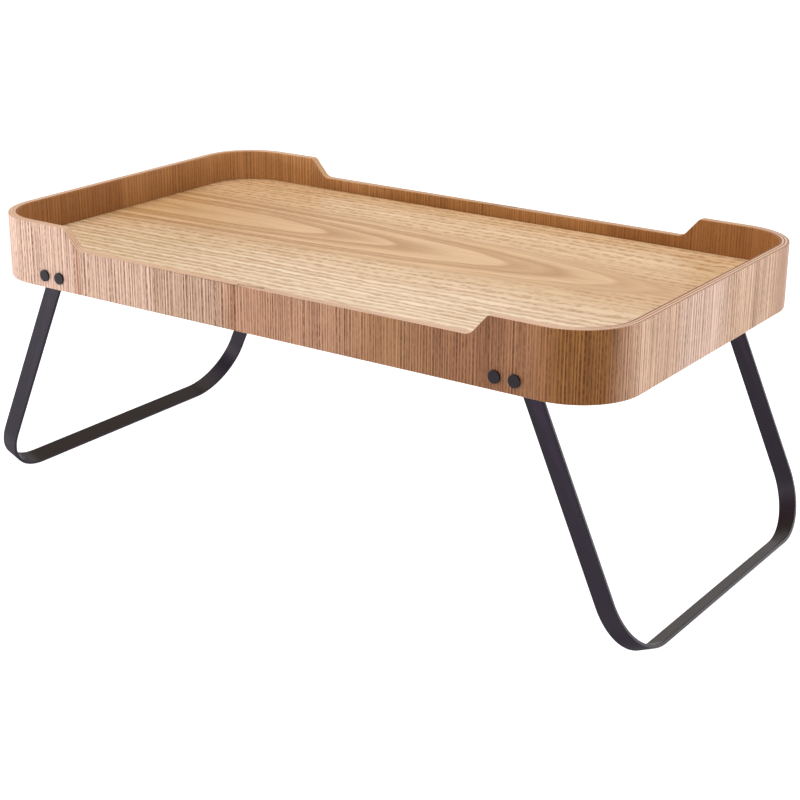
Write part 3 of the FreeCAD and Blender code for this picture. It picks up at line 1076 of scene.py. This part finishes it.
def rim_veneer(side, finishes, wall):
    """Straight-grained veneer, upright on both faces of the band, and plies on its cut edges."""
    material, sheet, shader = new_material(f"rim_veneer_{side}")
    along, up, _ = sheet.split(sheet.put("ShaderNodeUVMap", {}, uv_map=BAND_MAP))
    depth, _, _ = sheet.split(sheet.put("ShaderNodeUVMap", {}, uv_map=SECTION_MAP))
    inner = sheet.math("GREATER_THAN", depth, wall / 2)
    outer = 1.0 - inner
    layer = inner * NOISE_LAYER[side]

    rings = line_count(sheet, side, along, up, layer)
    wood = wood_figure(sheet, sheet.vector(up, along, layer), rings, 4.0, 1.1)
    lines = wood["Late Wood"] * (wood["Pores"] * 0.55 + 0.45)
    patches = sheet.noise(sheet.vector(0.0, along * 25.0, layer))
    strength = outer * patches.fade(0.35, 0.65, *LINE_STRENGTH[side]) + inner * INNER_STRENGTH

    # Leaf tones, outer and inner, which carry painted sheen and painted shade besides the veneers' own
    # colours
    tone = sheet.blend(inner, leaf_tones(sheet, LEAVES_AND_PAINTED_LIGHT[side], finishes, along),
                       leaf_tones(sheet, INNER_LEAVES_AND_PAINTED_SHADE[side], finishes, along))
    tone = sheet.stain(tone, wood["Cloud"] * 0.5, RIM_TINTS["cloud"])
    tone = sheet.stain(tone, wood["Streaks"] * strength, RIM_TINTS["streak"])
    tone = sheet.stain(tone, lines * strength, RIM_TINTS["line"])

    # The seam is a dark glue line that opens and closes on its way up
    open_joint = sheet.noise(sheet.vector(up * 90.0, 0.0)).fade(0.38, 0.62, 0.35, 1.0)
    seam = abs(along - SEAM * MM).fade(1.3 * MM, 0.5 * MM) * outer
    tone = sheet.blend(seam * open_joint, tone, finishes.glue)

    veneer = FACE_VENEER * MM
    past_outer = depth.fade(veneer * 0.8, veneer * 1.2)
    past_inner = depth.fade(wall - veneer * 0.8, wall - veneer * 1.2)
    tone = sheet.blend(past_outer * past_inner, tone, cut_edge(sheet, side, finishes, along, depth, wall))
    dress(sheet, shader, Base_Color=tone, Roughness=handled_gloss(sheet, finishes.wood_roughness, 0.12),
          Normal=sheet.bump(lines * -1.0, 0.05 * MM), Specular_IOR_Level=0.15)
    return material


# The panel's growth rings: (radius in millimetres from the heart line, share of late wood)
RINGS = [
    (0, 0.25), (4.2, 0.15), (5.5, 0.55), (9, 0.35), (15, 0.12), (23.2, 0.08), (24.2, 0.85), (28, 0.55),
    (30.6, 0.22), (31.4, 0.15), (32.4, 0.95), (36, 0.60), (39, 0.18), (44, 0.08), (45.2, 0.80), (48, 0.55),
    (50.2, 0.95), (52.5, 0.35), (55.4, 0.05), (56.4, 0.60), (59, 0.35), (61, 0.70), (63, 0.25),
]
RING_SPAN = 65.0              # the radius that the ramp of rings covers
ARCHES_END = (58, 66)         # the radius where the arches fade into the plain grain beyond
FINE_SPACING = 8.0            # millimetres between fine rings
WIDE_SPACING = 17.0           # millimetres between the rings beyond the arches
# The heart line of the log, in metres, and its drift to the rear and dive for each metre to the right
HEART_START = 0.292           # how far left of the middle it leaves the face
HEART_MIDDLE = 0.0315         # how far behind the panel's middle line it lies, halfway along
HEART_DRIFT = 0.024
HEART_DIVE = 0.115
BOARD_TINTS = {
    "left end": (0.92, 0.88, 0.83), "cloud": (0.86, 0.84, 0.80), "streak": (0.92, 0.88, 0.82),
    "line": (0.68, 0.58, 0.47),
}


def board_veneer(finishes):
    """Flat-sawn veneer with a cathedral of growth rings whose arches point to the right."""
    material, sheet, shader = new_material("panel_veneer")
    place = sheet.place()
    x, y, _ = sheet.split(place)
    warp = sheet.swing(place, 7.0, 26.0, 3.0) * (11 * MM)
    ripple = sheet.swing(place, 22.0, 90.0, 2.0) * (4 * MM)
    weave = sheet.swing(place, 95.0, 130.0, 1.0) * 0.65
    off = y - (x * HEART_DRIFT + HEART_MIDDLE) + (warp + ripple)
    dive = (x + HEART_START) * HEART_DIVE * abs(off).fade(0.05, 0.13, 1.0, 0.35)
    buried = sheet.math("MAXIMUM", dive, 0.0)
    radius = sheet.math("SQRT", off * off + buried * buried)
    run_along = (abs(off) / radius).fade(0.5, 0.9)
    beyond = (radius / MM).fade(*ARCHES_END)
    stops = [(ring / RING_SPAN, (late, late, late)) for ring, late in RINGS]
    arches = sheet.ramp(radius / (RING_SPAN * MM), stops)
    grain = sheet.vector(x, off)
    fine = wood_figure(sheet, grain, radius / (FINE_SPACING * MM) + weave, 6.0, 4.5)
    wide = wood_figure(sheet, grain, radius / (WIDE_SPACING * MM), 20.0, 5.0)
    straight = wood_figure(sheet, grain, off / (FINE_SPACING * MM), 6.0, 4.5)
    late_wood = arches * (1.0 - beyond) + (wide["Late Wood"] * 0.20 + 0.10) * beyond

    pale = sheet.ramp(off * 2.5 + 0.5, [
        (0.20, finishes.board_pale), (0.42, finishes.board_heart), (0.58, finishes.board_heart),
        (0.72, finishes.board_rear)])
    tone = sheet.blend(late_wood, pale, finishes.board_dark)
    tone = sheet.stain(tone, x.fade(0.10, -0.30), BOARD_TINTS["left end"])
    tone = sheet.stain(tone, fine["Cloud"] * 0.4, BOARD_TINTS["cloud"])
    tone = sheet.stain(tone, fine["Streaks"], BOARD_TINTS["streak"])

    # Lines show where the rings run along the board, and only flecks where they cross it. Past the
    # last arch, straight lines carry on along the board. Towards the rear the lines are less broken.
    ruled = sheet.math("MAXIMUM", fine["Late Wood"].fade(0.25, 0.50) * run_along, 0.12)
    carried_on = straight["Late Wood"].fade(0.25, 0.50) * (beyond * (1.0 - run_along))
    ruled = sheet.math("MAXIMUM", ruled, carried_on)
    gaps = off.fade(-0.11, -0.06, 0.35, 0.70)
    pores = ruled * (1.0 - (1.0 - fine["Pores"]) * gaps)
    strength = (late_wood * 0.8 + 0.1) * (1.0 - beyond) + beyond
    tone = sheet.stain(tone, pores * strength, BOARD_TINTS["line"])
    dress(sheet, shader, Base_Color=tone, Roughness=handled_gloss(sheet, finishes.wood_roughness, 0.10),
          Normal=sheet.bump(pores * -1.0, 0.05 * MM), Specular_IOR_Level=0.2)
    return material


UPWARD_TINT = (0.018, 0.011, 0.008)     # a lighter warm grey-brown for faces that look up


def coated_metal(name, base, roughness, grain_size, relief, edge_wear_and_highlight, drift, specular):
    """Black coated metal: fine orange peel, drifting gloss, edges lighter from faint wear and a painted
    highlight, and upward faces a lighter warm grey-brown.
    """
    material, sheet, shader = new_material(name)
    peel = sheet.noise(sheet.place(), 1.0 / grain_size)
    facing_up = sheet.split(sheet.place("Normal"))[2]
    wear_and_highlight_group = shared_group("Edge rub", {"Amount": "NodeSocketFloat"}, ["Mask"], rubbed_and_highlit_edges)
    worn_and_highlit = sheet.group(wear_and_highlight_group, {"Amount": edge_wear_and_highlight})["Mask"]
    tone = sheet.blend(peel.fade(0.35, 0.7, 0.0, 0.25), base, [value * 1.8 for value in base])
    # Painted highlight along the edges, together with faint wear: the edges are lightened
    tone = sheet.blend(worn_and_highlit, tone, [min(1.0, value * 4.0) for value in base])
    # Faces that look up turn a lighter warm grey-brown
    tone = sheet.blend(facing_up.fade(0.6, 0.95), tone, UPWARD_TINT)
    gloss = handled_gloss(sheet, roughness, drift)
    gloss = sheet.math("ADD", gloss, facing_up.fade(-0.1, -0.6, 0.0, 0.4), clamp=True)
    dress(sheet, shader, Base_Color=tone, Roughness=gloss, Normal=sheet.bump(peel, relief),
          Specular_IOR_Level=specular)
    return material


def powder_coat(finishes):
    """The leg frames' satin charcoal powder coat."""
    return coated_metal("black_powder_coat", finishes.powder, finishes.powder_roughness,
                        0.5 * MM, 0.03 * MM, edge_wear_and_highlight=0.35, drift=0.10, specular=0.2)


def black_steel(finishes):
    """The satin black finish of posts and screws, made once."""
    found = bpy.data.materials.get("black_steel")
    return found or coated_metal("black_steel", finishes.steel_black, 0.26,
                                 0.3 * MM, 0.01 * MM, edge_wear_and_highlight=0.3, drift=0.08, specular=0.22)


def clouded(sheet, clouds, start, end, base, tint):
    """A colour that is tinted in clouds, and the tinted colour by itself."""
    tinted = [value * factor for value, factor in zip(base, tint)]
    return sheet.blend(clouds.fade(start, end), base, tinted), tinted


def zinc_plate(finishes):
    """Zinc-plated pressed steel: faint blue-grey clouds and rolling lines."""
    material, sheet, shader = new_material("zinc_steel")
    place = sheet.place()
    rolled = sheet.noise(sheet.stretched(place, 60.0, 60.0, 2500.0))
    tone, cool = clouded(sheet, sheet.noise(place, 90.0, 3.0), 0.35, 0.65, finishes.zinc, (0.80, 0.86, 0.95))
    tone = sheet.blend(rolled * 0.25, tone, cool)
    dress(sheet, shader, Base_Color=tone, Roughness=handled_gloss(sheet, 0.34, 0.20),
          Normal=sheet.bump(rolled, 0.01 * MM, 0.4), Metallic=1.0)
    return material


def white_nylon(finishes):
    """Natural nylon: slightly waxy, with faint clouds."""
    material, sheet, shader = new_material("nylon")
    clouds = sheet.noise(sheet.place(), 220.0, 3.0)
    tone, _ = clouded(sheet, clouds, 0.3, 0.7, finishes.nylon, (0.94, 0.91, 0.84))
    dress(sheet, shader, Base_Color=tone, Roughness=handled_gloss(sheet, 0.45, 0.10),
          Normal=sheet.bump(clouds, 0.02 * MM, 0.3), Subsurface_Weight=0.1,
          Subsurface_Radius=(0.8 * MM, 0.7 * MM, 0.5 * MM))
    return material


# ======== Studio ========

# The camera that fits the photograph, with the image taken to be 800 pixels square
IMAGE_SIZE = 800.0
CAMERA_PLACE = Vector((0.81511, -1.16913, 0.61150))
CAMERA_YAW = math.radians(34.884)
CAMERA_PITCH = math.radians(19.702)
CAMERA_ROLL = math.radians(0.293)
FOCAL_PIXELS = 1755.711
CENTRE_PIXEL = (387.165, 392.682)


def add_camera():
    """The camera at the photograph's viewing angle."""
    back = Vector((math.sin(CAMERA_YAW) * math.cos(CAMERA_PITCH),
                   -math.cos(CAMERA_YAW) * math.cos(CAMERA_PITCH), math.sin(CAMERA_PITCH)))
    level = Vector((math.cos(CAMERA_YAW), math.sin(CAMERA_YAW), 0))
    upright = back.cross(level)
    right = level * math.cos(CAMERA_ROLL) + upright * math.sin(CAMERA_ROLL)
    up = upright * math.cos(CAMERA_ROLL) - level * math.sin(CAMERA_ROLL)
    data = bpy.data.cameras.new("camera")
    data.lens = FOCAL_PIXELS / IMAGE_SIZE * data.sensor_width
    data.shift_x = 0.5 - CENTRE_PIXEL[0] / IMAGE_SIZE
    data.shift_y = CENTRE_PIXEL[1] / IMAGE_SIZE - 0.5
    camera = add_object("camera", data)
    turn = Matrix((right, up, back)).transposed().to_4x4()
    camera.matrix_world = Matrix.Translation(CAMERA_PLACE) @ turn
    bpy.context.scene.camera = camera


SOFTBOXES = (                 # name, place, the point it is aimed at, width, height
    ("top", (-0.15, -0.2, 1.9), (0.0, 0.0, 0.15), 2.2, 2.2),
    ("left", (-1.65, -1.25, 0.27), (-0.2, 0.0, 0.2), 1.5, 0.5),
    ("right", (1.45, 1.35, 0.27), (0.2, 0.0, 0.2), 1.5, 0.5),
    ("back", (-0.9, 2.0, 0.95), (0.1, 0.0, 0.2), 1.4, 0.7),
)


def add_softbox(name, place, aim, width, height, power):
    """A large soft light at a place, aimed at a point."""
    data = bpy.data.lights.new(name, "AREA")
    data.shape = "RECTANGLE"
    data.size = width
    data.size_y = height
    data.energy = power
    light = add_object(name, data)
    light.visible_camera = False
    light.location = place
    light.rotation_mode = "QUATERNION"
    light.rotation_quaternion = (Vector(aim) - Vector(place)).to_track_quat("-Z", "Y")


def add_floor(settings):
    """A wide plain floor."""
    reach = 40.0
    mesh = bmesh.new()
    corners = [(-reach, -reach), (reach, -reach), (reach, reach), (-reach, reach)]
    mesh.faces.new([mesh.verts.new((x, y, 0.0)) for x, y in corners])
    floor = mesh_object("floor", mesh)
    material, sheet, shader = new_material("floor")
    dress(sheet, shader, Base_Color=(*settings.floor, 1.0), Roughness=0.9, Specular_IOR_Level=0.1,
          Emission_Color=(1.0, 1.0, 1.0, 1.0), Emission_Strength=settings.floor_glow)
    floor.data.materials.append(material)


def soft_world(settings):
    """Even light all round, which the camera sees as a pale backdrop."""
    world = bpy.data.worlds.new("backdrop")
    world.use_nodes = True
    sheet = NodeSheet(world.node_tree)
    background = next(node for node in world.node_tree.nodes if node.type == "BACKGROUND")
    dress(sheet, background, Color=(1.0, 1.0, 1.0, 1.0))
    seen = sheet.put("ShaderNodeLightPath", {}, "Is Camera Ray")
    dress(sheet, background, Strength=seen.fade(0.0, 1.0, settings.backdrop, settings.seen_backdrop))
    return world


class TRAYTABLE_OT_studio(bpy.types.Operator):
    """Set up the floor, the soft lights and the camera"""

    bl_idname = "traytable.studio"
    bl_label = "Studio"

    def execute(self, context):
        settings = context.scene.traytable_studio
        add_camera()
        add_floor(settings)
        for name, place, aim, width, height in SOFTBOXES:
            add_softbox(name, place, aim, width, height, getattr(settings, f"{name}_power"))
        context.scene.world = soft_world(settings)
        context.scene.view_settings.view_transform = "Standard"
        return {"FINISHED"}


# ======== Add-on ========

BUILD_STEPS = (
    TRAYTABLE_OT_rim, TRAYTABLE_OT_board, TRAYTABLE_OT_legs, TRAYTABLE_OT_posts, TRAYTABLE_OT_screws,
    TRAYTABLE_OT_sleeves, TRAYTABLE_OT_plates, TRAYTABLE_OT_studio,
)
SETTINGS = {
    "traytable_rim": RimSizes, "traytable_board": BoardSizes, "traytable_legs": LegSizes,
    "traytable_hinges": HingeSizes, "traytable_finishes": Finishes, "traytable_studio": Studio,
}


class TRAYTABLE_PT_sidebar(bpy.types.Panel):
    """Buttons and settings of the tray table"""

    bl_idname = "TRAYTABLE_PT_sidebar"
    bl_label = "Bed Tray Table"
    bl_space_type = "VIEW_3D"
    bl_region_type = "UI"
    bl_category = "Tray Table"

    def draw(self, context):
        layout = self.layout
        for step in BUILD_STEPS:
            layout.operator(step.bl_idname)
        for name, kind in SETTINGS.items():
            box = layout.box()
            box.label(text=kind.__doc__)
            settings = getattr(context.scene, name)
            for key in kind.__annotations__:
                box.prop(settings, key)


CLASSES = (*SETTINGS.values(), *BUILD_STEPS, TRAYTABLE_PT_sidebar)


def register():
    for kind in CLASSES:
        bpy.utils.register_class(kind)
    for name, kind in SETTINGS.items():
        setattr(bpy.types.Scene, name, PointerProperty(type=kind))


def unregister():
    for name in SETTINGS:
        delattr(bpy.types.Scene, name)
    for kind in reversed(CLASSES):
        bpy.utils.unregister_class(kind)


def main():
    """Registers the classes and builds every piece in order."""
    register()
    for step in BUILD_STEPS:
        family, name = step.bl_idname.split(".")
        getattr(getattr(bpy.ops, family), name)()


if __name__ == "__main__":
    main()
